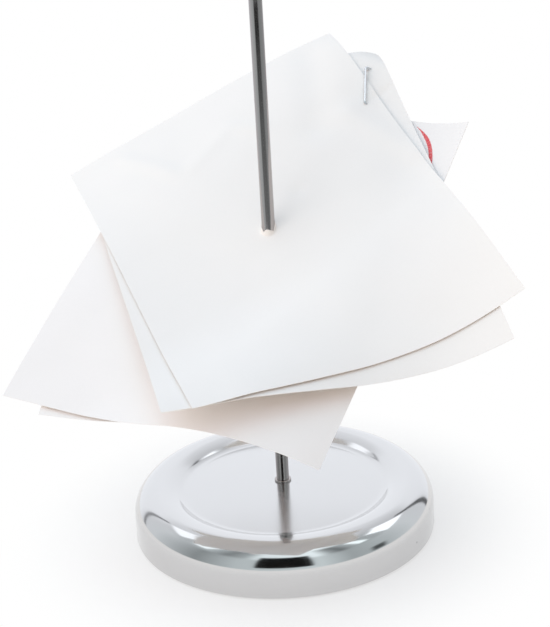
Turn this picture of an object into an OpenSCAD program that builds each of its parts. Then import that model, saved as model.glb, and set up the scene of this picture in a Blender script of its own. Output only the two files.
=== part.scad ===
// Receipt spike: a weighted round base, an upright pointed rod and the till slips pushed onto it.
// Millimetres, +Z up. The origin is on the rod's axis, on the surface that the base stands on.

/* [Base shell] */
// Outside diameter of the base
base_d = 76; // [66:1:100]
// Height of the rolled ring's crest above the counter
crest_z = 13.1; // [10.5:0.1:16]
// Radius of the ring's outer side
ring_r = 6.5; // [4.5:0.1:7]
// Radius of the ring's inner side
flank_r = 8.5; // [7.5:0.5:14]
// Height of the flat seat under the rod
seat_z = 12.7; // [11.5:0.1:14]
// Diameter of the flat seat under the rod
seat_d = 12; // [11:0.5:16]
// Radius of the dome around the seat
dome_r = 180; // [140:5:400]
// Radius of the groove between the dome and the ring
groove_r = 3; // [1:0.5:6]
// Thickness of the pressed sheet
shell_t = 0.8; // [0.5:0.1:1]
// Height of the skirt's lower edge above the counter
skirt_z = 0.5; // [0.2:0.1:0.9]

/* [Spike] */
// Diameter of the rod
rod_d = 3.2; // [2.8:0.1:4]
// Height of the tip above the counter
tip_z = 152; // [140:1:200]
// Length of the ground point
point_len = 14; // [8:1:20]
// Radius left on the tip
tip_r = 0.25; // [0.1:0.05:0.5]
// How far the collar stands out from the rod
collar_out = 0.5; // [0.3:0.05:0.8]
// Height of the collar
collar_h = 0.5; // [0.4:0.1:3]
// Chamfer on the collar's upper edge
collar_bevel = 0.2; // [0.1:0.05:0.2]
// Thread diameter of the tail under the collar
tail_d = 3; // [2.5:0.1:3.5]
// Length of tail that shows past the nut
tail_past_nut = 0.6; // [0.3:0.1:1]

/* [Inside the base] */
// Thickness of the foam pad
pad_t = 1; // [0.8:0.1:2]
// Step from the plate's edge in to the pad's edge
pad_step = 1.5; // [0.5:0.5:4]
// Thickness of the bottom plate
plate_t = 1.2; // [0.8:0.1:2]
// Gap between the bottom plate and the skirt
plate_gap = 0.15; // [0.05:0.05:0.5]
// Gap around and above the ballast weight
ballast_gap = 0.6; // [0.3:0.1:1]
// Diameter of the boss that the shell is clamped against
boss_d = 10; // [9:0.5:10.5]
// Gap around the washer in the ballast's pocket
pocket_gap = 1.5; // [0.5:0.5:3]
// Gap between the tail's end and the bottom plate
tail_end_gap = 0.4; // [0.2:0.1:1]
// Gap around the tail in the shell and the ballast
tail_gap = 0.2; // [0.1:0.05:0.3]
// Gap around the tail in the nut
thread_gap = 0.05; // [0.02:0.01:0.08]
// Outside diameter of the plain washer
washer_d = 7; // [6.5:0.5:8]
// Thickness of the plain washer
washer_t = 0.5; // [0.4:0.1:0.8]
// Outside diameter of the spring washer
spring_d = 6.2; // [5.5:0.1:6.5]
// Thickness of the spring washer
spring_t = 0.8; // [0.5:0.1:1]
// Width of the cut through the spring washer
spring_cut = 0.6; // [0.4:0.1:1]
// Width of the nut across its flats
nut_af = 5.5; // [5.2:0.1:6.5]
// Height of the nut
nut_h = 2.4; // [1.8:0.1:2.8]

/* [Paper stack] */
// Thickness of the till paper
paper_t = 0.1; // [0.06:0.01:0.2]
// Gap between the rod and the hole it pierced
pierce_gap = 0.15; // [0.1:0.05:0.4]
// Height on the rod of the bottom slip
stack_z = 76.4; // [60:0.5:95]
// Height from the bottom slip to the third slip
third_rise = 0.9; // [0.8:0.1:3]
// Height from the third slip to the second slip
second_rise = 1.9; // [0.8:0.1:4]
// Height from the second slip to the top slip
top_rise = 0.7; // [0.7:0.1:2]
// Slope of the stack, up towards the back
stack_pitch = 29; // [15:1:35]
// Slope of the stack, up towards the right
stack_bank = 9; // [0:1:15]

/* [Top slip] */
// Width of the paper roll
roll_w = 80; // [70:1:90]
// Length of the top slip
top_len = 105; // [90:1:120]
// Turn of the top slip about the rod
top_turn = 16; // [5:1:25]
// Distance from the hole to the right edge
top_right = 43; // [40:0.5:50]
// Distance from the hole to the back edge
top_back = 55.5; // [50:0.5:60]

/* [Second slip] */
// Length of the second slip
second_len = 103; // [90:1:115]
// Turn of the second slip about the rod
second_turn = 8; // [0:1:15]
// Paper beyond the staple's far leg, at the right edge
second_side = 3.5; // [3:0.5:12]
// Paper beyond the staple's far leg, at the back edge
second_end = 8.2; // [1:0.1:10]

/* [Third slip] */
// Length of the third slip
third_len = 104; // [90:1:120]
// Turn of the third slip about the rod
third_turn = -29; // [-40:1:-20]
// Distance from the hole to the right edge
third_right = 36; // [30:0.5:45]
// Distance from the hole to the back edge
third_back = 45; // [35:0.5:55]

/* [Bottom slip] */
// Width of the narrow paper roll
narrow_w = 57; // [50:1:70]
// Length of the bottom slip
bottom_len = 90; // [75:1:105]
// Turn of the bottom slip about the rod
bottom_turn = -22; // [-35:1:-10]
// Distance from the hole to the right edge
bottom_right = 16; // [10:0.5:25]
// Distance from the hole to the back edge
bottom_back = 34; // [25:0.5:45]

/* [Staple] */
// Outside width of the staple's crown
crown_w = 12.6; // [9:0.1:14]
// Width of the staple's flattened wire
wire_w = 0.7; // [0.5:0.05:1]
// Thickness of the staple's flattened wire
wire_t = 0.5; // [0.4:0.05:0.6]
// Length of each leg folded in under the slips
clinch_len = 4.5; // [3:0.1:5.5]
// Gap between the staple and the paper
staple_gap = 0.15; // [0.1:0.05:0.3]
// Distance from the staple's middle to the top slip's right edge
staple_side = 1.4; // [1:0.1:8]
// Distance from the staple's middle to the top slip's back edge
staple_end = 24.9; // [18:0.1:30]
// Turn of the crown from the top slip's long edge
staple_turn = 28; // [0:1:30]

/* [Hidden] */
$fn = 128;
// Bends in the paper: direction in degrees, distance from the hole where the bend starts,
// and how far the paper has left its plane 10 mm beyond that
front_dip = [-53, 21, -1.94];
front_swell = [-64, 13, 1.02];
right_curl = [-17, 28, 1.2];
back_droop = [128, 19, -0.64];
upper_back_curl = [117, 18, 0.1];
upper_left_curl = [-138, 10, 0.36];
lower_bends = [front_dip, front_swell, right_curl, back_droop];
upper_bends = concat(lower_bends, [upper_back_curl, upper_left_curl]);
// Length of one facet of a slip
facet = 8;
// Overlap that keeps a cut or a union clean
eps = 0.01;

// Base shell: centres of its arcs, all in the half plane of radius and height
base_r = base_d / 2;
crest_r = base_r - ring_r;
ring_z = crest_z - ring_r;
flank_z = crest_z - flank_r;
dome_z = seat_z - sqrt(dome_r^2 - (seat_d / 2)^2);
// The groove's arc touches the ring's inner arc and the dome's arc
to_flank = flank_r + groove_r;
to_dome = dome_r + groove_r;
centres = norm([crest_r, flank_z - dome_z]);
centres_tilt = atan2(flank_z - dome_z, crest_r);
groove_turn = acos((to_dome^2 + centres^2 - to_flank^2) / (2 * to_dome * centres));
groove_c = [0, dome_z] + to_dome * [cos(centres_tilt + groove_turn), sin(centres_tilt + groove_turn)];
groove_low = groove_c.y - groove_r;

// Heights inside the base
plate_z = pad_t;
ballast_z = pad_t + plate_t;
tail_z = ballast_z + tail_end_gap;
nut_z = tail_z + tail_past_nut;
spring_z = nut_z + nut_h;
washer_z = spring_z + spring_t;
clamp_z = washer_z + washer_t;
under_seat_z = seat_z - shell_t;
ballast_top = groove_low - shell_t - ballast_gap;
inner_ring_r = ring_r - shell_t;
ballast_reach = sqrt(inner_ring_r^2 - max(0, ballast_top - ring_z)^2);
ballast_r = crest_r + ballast_reach - ballast_gap;
plate_r = base_r - shell_t - plate_gap;

// Heights of the slips on the rod
third_z = stack_z + third_rise;
second_z = third_z + second_rise;
top_z = second_z + top_rise;

// Staple: its middle and its far leg, in the plane of the stack, from the hole
staple_mid = spin([top_right - staple_side, top_back - staple_end], top_turn);
staple_dir = top_turn + 90 - staple_turn;
leg_reach = crown_w / 2 - wire_t / 2;
far_leg = staple_mid + leg_reach * [cos(staple_dir), sin(staple_dir)];
far_leg_second = spin(far_leg, -second_turn);
second_right = far_leg_second.x + second_side;
second_back = far_leg_second.y + second_end;

// A point in a plane, turned about the origin
function spin(p, a) = [p.x * cos(a) - p.y * sin(a), p.x * sin(a) + p.y * cos(a)];

// Height of one bend, or of a list of bends, over a point of the stack's plane
function bend(b, p) =
    let (past = max(0, p.x * cos(b[0]) + p.y * sin(b[0]) - b[1]))
    b[2] * (past / 10)^2;
function bend_sum(bends, p, i = 0) = i == len(bends) ? 0 : bend(bends[i], p) + bend_sum(bends, p, i + 1);

// Profile of the shell, inset by t and closed along the axis down to z_low
module shell_section(t, z_low) {
    ring = ring_r - t;
    flank = flank_r - t;
    dome = dome_r - t;
    groove = groove_r + t;
    to_flank_c = ([crest_r, flank_z] - groove_c) / to_flank;
    to_dome_c = ([0, dome_z] - groove_c) / to_dome;
    flank_touch = groove_c + groove * to_flank_c;
    dome_touch = groove_c + groove * to_dome_c;
    difference() {
        union() {
            polygon([
                [0, z_low],
                [base_r - t, z_low],
                [base_r - t, ring_z],
                [crest_r, ring_z],
                flank_touch,
                dome_touch,
                [0, dome_touch.y]
            ]);
            intersection() {
                translate([crest_r, ring_z])
                    circle(r = ring);
                translate([crest_r - ring, ring_z - eps])
                    square([2 * ring, ring + 2 * eps]);
            }
            intersection() {
                translate([crest_r, flank_z])
                    circle(r = flank);
                translate([flank_touch.x, ring_z - eps])
                    square([crest_r - flank_touch.x, ring + 2 * eps]);
            }
            intersection() {
                translate([0, dome_z])
                    circle(r = dome, $fn = 1440);
                translate([0, dome_touch.y - eps])
                    square([dome_touch.x, seat_z - t - dome_touch.y + eps]);
            }
        }
        translate(groove_c)
            circle(r = groove);
    }
}

// Pressed and plated cover: skirt, rolled ring, groove, dome and a flat seat with a hole
module base_shell() color("gainsboro")
    difference() {
        rotate_extrude()
            difference() {
                shell_section(0, skirt_z);
                shell_section(shell_t, skirt_z - 1);
            }
        translate([0, 0, under_seat_z - 1])
            cylinder(d = tail_d + 2 * tail_gap, h = shell_t + 2);
    }

// Polished rod with a ground point, a collar that stops on the seat and a threaded tail
module spike_rod() color("silver") {
    rod_r = rod_d / 2;
    collar_r = rod_r + collar_out;
    rotate_extrude()
        polygon([
            [0, tail_z],
            [tail_d / 2, tail_z],
            [tail_d / 2, seat_z],
            [collar_r, seat_z],
            [collar_r, seat_z + collar_h - collar_bevel],
            [collar_r - collar_bevel, seat_z + collar_h],
            [rod_r, seat_z + collar_h],
            [rod_r, tip_z - point_len],
            [tip_r, tip_z - tip_r],
            [0, tip_z]
        ]);
}

// Cast weight: a disc with a boss under the seat and a pocket for the fasteners
module ballast_weight() color("dimgray")
    difference() {
        union() {
            translate([0, 0, ballast_z])
                cylinder(r = ballast_r, h = ballast_top - ballast_z);
            translate([0, 0, ballast_z])
                cylinder(d = boss_d, h = under_seat_z - ballast_z);
        }
        translate([0, 0, ballast_z - 1])
            cylinder(d = washer_d + 2 * pocket_gap, h = clamp_z - ballast_z + 1);
        translate([0, 0, clamp_z - 1])
            cylinder(d = tail_d + 2 * tail_gap, h = under_seat_z - clamp_z + 2);
    }

module plain_washer() color("lightgray")
    translate([0, 0, washer_z])
        difference() {
            cylinder(d = washer_d, h = washer_t);
            translate([0, 0, -1])
                cylinder(d = tail_d + 2 * tail_gap, h = washer_t + 2);
        }

module spring_washer() color("darkgray")
    translate([0, 0, spring_z])
        difference() {
            cylinder(d = spring_d, h = spring_t);
            translate([0, 0, -1])
                cylinder(d = tail_d + 2 * tail_gap, h = spring_t + 2);
            translate([0, -spring_cut / 2, -1])
                cube([spring_d, spring_cut, spring_t + 2]);
        }

module hex_nut() color("lightgray")
    translate([0, 0, nut_z])
        difference() {
            cylinder(d = nut_af / cos(30), h = nut_h, $fn = 6);
            translate([0, 0, -1])
                cylinder(d = tail_d + 2 * thread_gap, h = nut_h + 2);
        }

// Plate that closes the base from below
module base_plate() color("#2a2a2c")
    translate([0, 0, plate_z])
        cylinder(r = plate_r, h = plate_t);

// Foam disc that the base stands on
module foot_pad() color("#1c1c1e")
    cylinder(r = plate_r - pad_step, h = pad_t);

// One sheet of paper in the plane of the stack, its hole at the origin, facets in rows from front to back
module sheet(width, length, right, back, turn, bends) {
    columns = ceil(width / facet);
    rows = ceil(length / facet);
    step_x = width / columns;
    step_y = length / rows;
    points = [
        for (side = [0, 1], j = [0 : rows], i = [0 : columns])
            let (p = spin([right - width + i * step_x, back - length + j * step_y], turn))
            [p.x, p.y, bend_sum(bends, p) - side * paper_t]
    ];
    function at(side, i, j) = side * (rows + 1) * (columns + 1) + j * (columns + 1) + i;
    function quad(a, b, c, d) = [[a, b, c], [a, c, d]];
    upper = [
        for (j = [0 : rows - 1], i = [0 : columns - 1])
            each quad(at(0, i, j), at(0, i, j + 1), at(0, i + 1, j + 1), at(0, i + 1, j))
    ];
    lower = [
        for (j = [0 : rows - 1], i = [0 : columns - 1])
            each quad(at(1, i, j), at(1, i + 1, j), at(1, i + 1, j + 1), at(1, i, j + 1))
    ];
    front_back = [
        for (i = [0 : columns - 1])
            each concat(
                quad(at(0, i, 0), at(0, i + 1, 0), at(1, i + 1, 0), at(1, i, 0)),
                quad(at(0, i, rows), at(1, i, rows), at(1, i + 1, rows), at(0, i + 1, rows))
            )
    ];
    left_right = [
        for (j = [0 : rows - 1])
            each concat(
                quad(at(0, 0, j), at(1, 0, j), at(1, 0, j + 1), at(0, 0, j + 1)),
                quad(at(0, columns, j), at(0, columns, j + 1), at(1, columns, j + 1), at(1, columns, j))
            )
    ];
    polyhedron(points, concat(upper, lower, front_back, left_right));
}

// Puts what lies in the stack's plane on the rod at height z
module on_rod(z)
    translate([0, 0, z])
        rotate([stack_pitch, -stack_bank, 0])
            children();

// The hole that the rod pierced
module pierced()
    difference() {
        children();
        cylinder(d = rod_d + 2 * pierce_gap, h = tip_z);
    }

module bottom_slip() color("linen")
    pierced()
        on_rod(stack_z)
            sheet(narrow_w, bottom_len, bottom_right, bottom_back, bottom_turn, lower_bends);

module third_slip() color("seashell")
    pierced()
        on_rod(third_z)
            sheet(roll_w, third_len, third_right, third_back, third_turn, lower_bends);

module second_slip() color("white")
    difference() {
        pierced()
            on_rod(second_z)
                sheet(roll_w, second_len, second_right, second_back, second_turn, upper_bends);
        staple_legs(staple_gap);
    }

module top_slip() color("white")
    difference() {
        pierced()
            on_rod(top_z)
                sheet(roll_w, top_len, top_right, top_back, top_turn, upper_bends);
        staple_legs(staple_gap);
    }

// Frame of the staple: on the top slip's face, with the crown along X
module staple_frame()
    on_rod(top_z)
        translate([staple_mid.x, staple_mid.y, bend_sum(upper_bends, staple_mid)])
            rotate([0, 0, staple_dir])
                children();

staple_drop = top_rise + paper_t + 2 * staple_gap;

// The two legs, each grown by a gap
module staple_legs(gap)
    staple_frame()
        for (side = [-1, 1])
            translate([side * leg_reach, 0, (staple_gap - staple_drop) / 2])
                cube([wire_t + 2 * gap, wire_w + 2 * gap, staple_gap + staple_drop + 2 * gap], center = true);

// Flat wire: a crown across the top slip's edge, a leg at each end and their ends folded in below
module staple() color("lightsteelblue") {
    staple_legs(eps);
    staple_frame() {
        translate([-crown_w / 2, -wire_w / 2, staple_gap])
            cube([crown_w, wire_w, wire_t]);
        for (side = [-1, 1])
            translate([side * (crown_w - clinch_len) / 2, 0, -staple_drop - wire_t / 2])
                cube([clinch_len, wire_w, wire_t], center = true);
    }
}

base_shell();
spike_rod();
ballast_weight();
plain_washer();
spring_washer();
hex_nut();
base_plate();
foot_pad();
bottom_slip();
third_slip();
second_slip();
top_slip();
staple();
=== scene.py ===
"""Looks of a receipt spike: chrome base, polished rod, pierced till slips and their staple.

The frame is in metres. Sizes written here are in millimetres and are turned into metres by MM.
"""

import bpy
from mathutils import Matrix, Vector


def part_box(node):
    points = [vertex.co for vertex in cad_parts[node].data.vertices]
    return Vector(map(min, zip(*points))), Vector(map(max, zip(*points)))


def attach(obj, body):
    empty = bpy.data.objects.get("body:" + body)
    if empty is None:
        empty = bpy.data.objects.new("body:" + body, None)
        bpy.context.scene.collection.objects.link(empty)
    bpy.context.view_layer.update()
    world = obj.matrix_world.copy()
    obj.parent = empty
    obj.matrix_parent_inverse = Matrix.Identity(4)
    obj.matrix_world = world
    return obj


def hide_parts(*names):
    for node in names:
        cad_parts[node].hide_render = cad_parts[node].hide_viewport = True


bl_info = {
    "name": "Receipt spike",
    "version": (1, 0, 0),
    "blender": (4, 5, 0),
    "location": "3D View > Sidebar > Spike",
    "description": "Dresses the packed receipt spike with meshes, materials and a stage",
    "category": "Object",
}

from collections import namedtuple
from math import acos, atan2, ceil, cos, pi, radians, sin, sqrt, tau

import bmesh
import bpy
import numpy as np
from bpy.props import FloatProperty, FloatVectorProperty, IntProperty, PointerProperty
from bpy.types import NodeSocket, Operator, Panel, PropertyGroup
from mathutils import Quaternion, Vector, noise

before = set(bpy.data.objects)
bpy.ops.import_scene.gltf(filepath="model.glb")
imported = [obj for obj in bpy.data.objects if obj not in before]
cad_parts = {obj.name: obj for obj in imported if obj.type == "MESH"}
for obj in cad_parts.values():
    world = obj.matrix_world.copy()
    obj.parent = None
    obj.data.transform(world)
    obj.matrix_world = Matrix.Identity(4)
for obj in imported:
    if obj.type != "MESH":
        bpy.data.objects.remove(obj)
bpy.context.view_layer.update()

MM = 0.001
IMAGE_HEIGHT = 627

# Base shell: its reach and foot come from the frame, its arcs are those of the part's source
SHELL_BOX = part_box("base_shell")
BASE_R = SHELL_BOX[1].x / MM
SKIRT_Z = SHELL_BOX[0].z / MM
CREST_Z = 13.1
RING_R = 6.5
FLANK_R = 8.5
SEAT_Z = 12.7
SEAT_R = 6.0
SEAT_HOLE_R = 1.7
DOME_R = 180.0
GROOVE_R = 3.0
SHELL_T = 0.8
SKIRT_ROUND = 0.25

# Rod: its two ends come from the frame
ROD_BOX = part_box("spike_rod")
TAIL_Z = ROD_BOX[0].z / MM
TIP_Z = ROD_BOX[1].z / MM
ROD_R = 1.6
POINT_LEN = 14.0
TIP_R = 0.25
COLLAR_R = 2.1
COLLAR_H = 0.5
COLLAR_ROUND = 0.15
TAIL_R = 1.5
THREAD_DEPTH = 0.3
THREAD_RUNOUT = 1.6
THREAD_LAYER = "thread_depth"
TAIL_CHAMFER = 0.35
# Rows of faces in a turn of thread, up the shaft and up the point, and the point's share that is its round
THREAD_ROWS = 10
SHAFT_ROWS = 24
POINT_ROWS = 20
POINT_ROUND = 0.02

# Angles past which an edge stays sharp, in degrees, and the gap under which points are merged
SHELL_CREASE = 40
ROD_CREASE = 35
WIRE_CREASE = 50
PAPER_CREASE = 50
MERGE_GAP = 0.001

# Paper stack: its slopes, in degrees, and the hole that the rod makes
STACK_PITCH = 29.0
STACK_BANK = 9.0
PIERCED_R = 1.75
# A bend: its direction in degrees, how far from the hole it starts, and its rise at BEND_UNIT past that
BEND_UNIT = 10
Bend = namedtuple("Bend", "direction start rise")
FRONT_DIP = Bend(-53, 21, -1.94)
FRONT_SWELL = Bend(-64, 13, 1.02)
RIGHT_CURL = Bend(-17, 28, 1.2)
BACK_DROOP = Bend(128, 19, -0.64)
UPPER_BACK_CURL = Bend(117, 18, 0.1)
UPPER_LEFT_CURL = Bend(-138, 10, 0.36)
CORNER_CURL = Bend(-33, 45, 0.4)
LOWER_BENDS = (FRONT_DIP, FRONT_SWELL, RIGHT_CURL, BACK_DROOP)
UPPER_BENDS = LOWER_BENDS + (UPPER_BACK_CURL, UPPER_LEFT_CURL, CORNER_CURL)

# Dents and ridges that the two stapled slips share: a run of points, a height and a half width
Ridge = namedtuple("Ridge", "run rise spread")
BUCKLE_APEX = (-19.1, 23.9)
BUCKLE_LEFT = (-34.1, 39.1)
BUCKLE_RIGHT = (-6.1, 37.8)
BUCKLE_SLOPE = 0.023
CREASE_SOFT = 0.9
UPPER_RIDGES = (
    Ridge((BUCKLE_APEX, BUCKLE_LEFT), 0.35, 2.6),
    Ridge((BUCKLE_APEX, BUCKLE_RIGHT, (2.5, 34.8)), 0.3, 2.6),
    Ridge((BUCKLE_APEX,), -0.5, 2.8),
    Ridge(((25.5, 33.2), (38.0, 16.6)), 0.55, 4.0),
    Ridge(((18.0, 58.0), (16.8, 31.0)), -0.5, 4.5),
    Ridge(((8.7, 10.8),), -0.25, 2.0),
    Ridge(((32.0, 37.3), (35.8, 40.2)), -0.22, 0.9),
    Ridge(((-6.0, -55.0), (8.0, -52.0), (20.0, -49.0)), 1.24, 12.0),
    Ridge(((33.0, 33.0), (40.0, 14.0), (46.0, 0.0)), -1.0, 9.0),
)

# A corner that rolls down: direction in the slip's own axes, length of paper in the roll and its radius
Roll = namedtuple("Roll", "direction reach radius")
# How far a slip's corners stand off a true rectangle, because its ends were torn: across and along, in pairs
Trim = namedtuple("Trim", "front_left front_right back_left back_right")
SQUARE = Trim((0, 0), (0, 0), (0, 0), (0, 0))
SECOND_TRIM = Trim((2.6, 0.0), (2.0, 0.4), (-1.5, -1.0), (1.15, 1.5))
TOP_TRIM = Trim((0.45, -0.5), (0.2, -0.4), (1.05, -0.25), (-1.7, 1.2))

# Staple, in the plane of the stack, measured from the hole
CROWN_W = 12.6
WIRE_W = 0.7
WIRE_T = 0.5
WIRE_ROUND = 0.15
BEND_STEPS = 8
EDGE_STEPS = 4
CLINCH_LEN = 4.5
STAPLE_GAP = 0.12
STAPLE_SIDE = 1.4
STAPLE_END = 24.9
STAPLE_TURN = 28.0

# The top slip's turn, and its right and back edges measured from the hole
TOP_TURN = 16.0
TOP_RIGHT = 43.0
TOP_BACK = 55.5
# The second slip's turn, and how far its right and back edges lie past the staple's far leg
SECOND_TURN = 8.0
SECOND_SIDE = 3.5
SECOND_END = 8.2

# Patterns of the finishes: the middle of a grain's range, the base's specks, its buffed ring and the foam
GRAIN_RANGE = (0.3, 0.7)
SPECK_CELLS = 250
SPECK_EDGE = (0.05, 0.08)
SPECK_SHARE = 0.12
SPECK_SHADE = 0.55
BUFF_FROM = 24.0
BUFF_TO = 30.0
FOAM_CELLS = 1500
WHITE = (1, 1, 1)


class BaseSettings(PropertyGroup):
    """Finish of the plated base."""

    chrome_colour: FloatVectorProperty(
        name="Chrome colour", description="Tint of the plated base",
        subtype="COLOR", size=3, min=0, max=1, default=(0.66, 0.655, 0.655))
    chrome_roughness: FloatProperty(
        name="Chrome roughness", description="Blur of the reflections in the base",
        subtype="FACTOR", min=0, max=1, default=0.17)
    ring_buff: FloatProperty(
        name="Ring buff", description="The ring's roughness as a share of the dome's",
        subtype="FACTOR", min=0, max=1, default=0.6)
    segments: IntProperty(
        name="Segments", description="Faces around the base", min=32, max=512, default=256)


class RodSettings(PropertyGroup):
    """Finish of the rod and the thread on its tail."""

    steel_colour: FloatVectorProperty(
        name="Steel colour", description="Tint of the polished rod",
        subtype="COLOR", size=3, min=0, max=1, default=(0.46, 0.425, 0.415))
    steel_roughness: FloatProperty(
        name="Steel roughness", description="Blur of the reflections in the rod",
        subtype="FACTOR", min=0, max=1, default=0.14)
    thread_pitch: FloatProperty(
        name="Thread pitch", description="Rise of the tail's thread in one turn",
        subtype="DISTANCE", unit="LENGTH", min=0.0002, max=0.002, default=0.0005)
    segments: IntProperty(
        name="Segments", description="Faces around the rod", min=16, max=256, default=80)


class PaperSettings(PropertyGroup):
    """Till slips: paper, waves and the pen mark."""

    upper_colour: FloatVectorProperty(
        name="Upper paper", description="Colour of the two stapled slips",
        subtype="COLOR", size=3, min=0, max=1, default=(0.915, 0.885, 0.862))
    lower_colour: FloatVectorProperty(
        name="Lower paper", description="Colour of the two slips underneath",
        subtype="COLOR", size=3, min=0, max=1, default=(0.912, 0.878, 0.864))
    thickness: FloatProperty(
        name="Thickness", description="Thickness of the till paper",
        subtype="DISTANCE", unit="LENGTH", min=0.00005, max=0.0003, default=0.0001)
    facet: FloatProperty(
        name="Facet", description="Length of one facet of a slip",
        subtype="DISTANCE", unit="LENGTH", min=0.0004, max=0.01, default=0.0008)
    wave_depth: FloatProperty(
        name="Wave depth", description="Depth of the slow waves far from the rod",
        subtype="DISTANCE", unit="LENGTH", min=0, max=0.002, default=0.0007)
    crinkle_depth: FloatProperty(
        name="Crinkle depth", description="Depth of each slip's own small crinkles",
        subtype="DISTANCE", unit="LENGTH", min=0, max=0.0002, default=0.0001)
    pen_colour: FloatVectorProperty(
        name="Pen colour", description="Ink of the pen mark on the third slip",
        subtype="COLOR", size=3, min=0, max=1, default=(0.74, 0.08, 0.09))
    pen_width: FloatProperty(
        name="Pen width", description="Width of the pen mark",
        subtype="DISTANCE", unit="LENGTH", min=0.0003, max=0.002, default=0.001)


class StapleSettings(PropertyGroup):
    """Staple wire."""

    wire_colour: FloatVectorProperty(
        name="Wire colour", description="Tint of the galvanised wire",
        subtype="COLOR", size=3, min=0, max=1, default=(0.7, 0.71, 0.73))
    bend_radius: FloatProperty(
        name="Bend radius", description="Radius of the wire's centre line at its four bends",
        subtype="DISTANCE", unit="LENGTH", min=0.0002, max=0.001, default=0.0005)


class StageSettings(PropertyGroup):
    """Camera, floor and light."""

    distance: FloatProperty(
        name="Camera distance", description="From the foot of the rod to the camera",
        subtype="DISTANCE", unit="LENGTH", min=0.2, max=2, default=0.475)
    elevation: FloatProperty(
        name="Camera elevation", description="Angle of the camera above the counter",
        subtype="ANGLE", unit="ROTATION", default=radians(28.35))
    roll: FloatProperty(
        name="Camera roll", description="Turn of the camera about its own view",
        subtype="ANGLE", unit="ROTATION", default=radians(-3.29))
    aim: FloatVectorProperty(
        name="Camera aim", description="Point that the camera looks at",
        subtype="TRANSLATION", unit="LENGTH", size=3, default=(0.0004, 0, 0.0582))
    focal_pixels: FloatProperty(
        name="Focal length", description="Focal length in pixels of the image", default=1840)
    light_level: FloatProperty(
        name="Tent level", description="Brightness of the tent as the metal shows it",
        min=0, max=3, default=1.09)
    soft_level: FloatProperty(
        name="Soft light level", description="Strength of the soft light on the pieces",
        min=0, max=3, default=1.0)
    fill_power: FloatProperty(
        name="Fill power", description="Power of the fill lamp",
        subtype="POWER", unit="POWER", min=0, max=10, default=0.4)
    floor_colour: FloatVectorProperty(
        name="Floor colour", description="Colour of the sheet that the base stands on",
        subtype="COLOR", size=3, min=0, max=1, default=(0.95, 0.95, 0.945))


class SpikeSettings(PropertyGroup):
    """All the settings of the receipt spike."""

    base: PointerProperty(type=BaseSettings)
    rod: PointerProperty(type=RodSettings)
    paper: PointerProperty(type=PaperSettings)
    staple: PointerProperty(type=StapleSettings)
    stage: PointerProperty(type=StageSettings)


def settings():
    """The scene's settings for this object."""
    return bpy.context.scene.receipt_spike


# Helpers for node trees

def put(tree, kind, inputs=None, **choices):
    """Adds a node. Each input is a value, or a socket to link from."""
    node = tree.nodes.new(kind)
    for name, value in choices.items():
        setattr(node, name, value)
    for key, value in (inputs or {}).items():
        if isinstance(value, NodeSocket):
            tree.links.new(value, node.inputs[key])
        else:
            node.inputs[key].default_value = value
    return node


def calc(tree, operation, first, second=0.0):
    """Result of a Math node."""
    return put(tree, "ShaderNodeMath", {0: first, 1: second}, operation=operation).outputs[0]


def spread(tree, value, low, high, to_low=0.0, to_high=1.0, kind="LINEAR"):
    """Result of a Map Range node."""
    inputs = {"Value": value, "From Min": low, "From Max": high, "To Min": to_low, "To Max": to_high}
    return put(tree, "ShaderNodeMapRange", inputs, interpolation_type=kind).outputs["Result"]


def blend_colour(tree, share, first, second, how="MIX"):
    """Result of a colour Mix node."""
    node = put(tree, "ShaderNodeMix", data_type="RGBA", blend_type=how)
    sockets = [s for s in node.inputs if s.type == "RGBA"]
    for socket, value in ((node.inputs[0], share), (sockets[0], first), (sockets[1], second)):
        if isinstance(value, NodeSocket):
            tree.links.new(value, socket)
        else:
            socket.default_value = value
    return [s for s in node.outputs if s.type == "RGBA"][0]


def rgba(colour, factor=1.0):
    """A colour with full alpha, scaled by a factor."""
    return (*(channel * factor for channel in colour), 1.0)


def new_material(name):
    """An empty material with its tree, its shader and its Object coordinates."""
    material = bpy.data.materials.new(name)
    material.use_nodes = True
    tree = material.node_tree
    place = put(tree, "ShaderNodeTexCoord").outputs["Object"]
    return material, tree, tree.nodes["Principled BSDF"], place


def grain(tree, place, scale, detail=2.0, stretch=(1, 1, 1)):
    """Noise over Object coordinates; scale is in features per metre."""
    spot = put(tree, "ShaderNodeMapping", {"Vector": place, "Scale": stretch}).outputs[0]
    return put(tree, "ShaderNodeTexNoise", {"Vector": spot, "Scale": scale, "Detail": detail}).outputs[0]


def bump(tree, shader, height, depth, strength):
    """Bumps a shader's normal by a height; depth is in millimetres."""
    made = put(tree, "ShaderNodeBump", {"Height": height, "Distance": depth * MM, "Strength": strength})
    tree.links.new(made.outputs[0], shader.inputs["Normal"])


# Materials

def dress(tree, shader, colour, rough, metal=0.0):
    """Links a shader's colour and roughness, and sets how much of a metal it is."""
    tree.links.new(colour, shader.inputs["Base Color"])
    tree.links.new(rough, shader.inputs["Roughness"])
    shader.inputs["Metallic"].default_value = metal


def by_grain(tree, pattern, low, high):
    """A number that follows a grain over the middle of its range."""
    return spread(tree, pattern, *GRAIN_RANGE, low, high)


def two_tone(tree, share, colour, low, high):
    """A colour that varies between two factors of itself."""
    return blend_colour(tree, share, rgba(colour, low), rgba(colour, high))


def weigh(tree, first, second, share):
    """Two patterns as one: the first by its share, and the second by the rest."""
    return calc(tree, "ADD", calc(tree, "MULTIPLY", first, share), calc(tree, "MULTIPLY", second, 1 - share))


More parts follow.
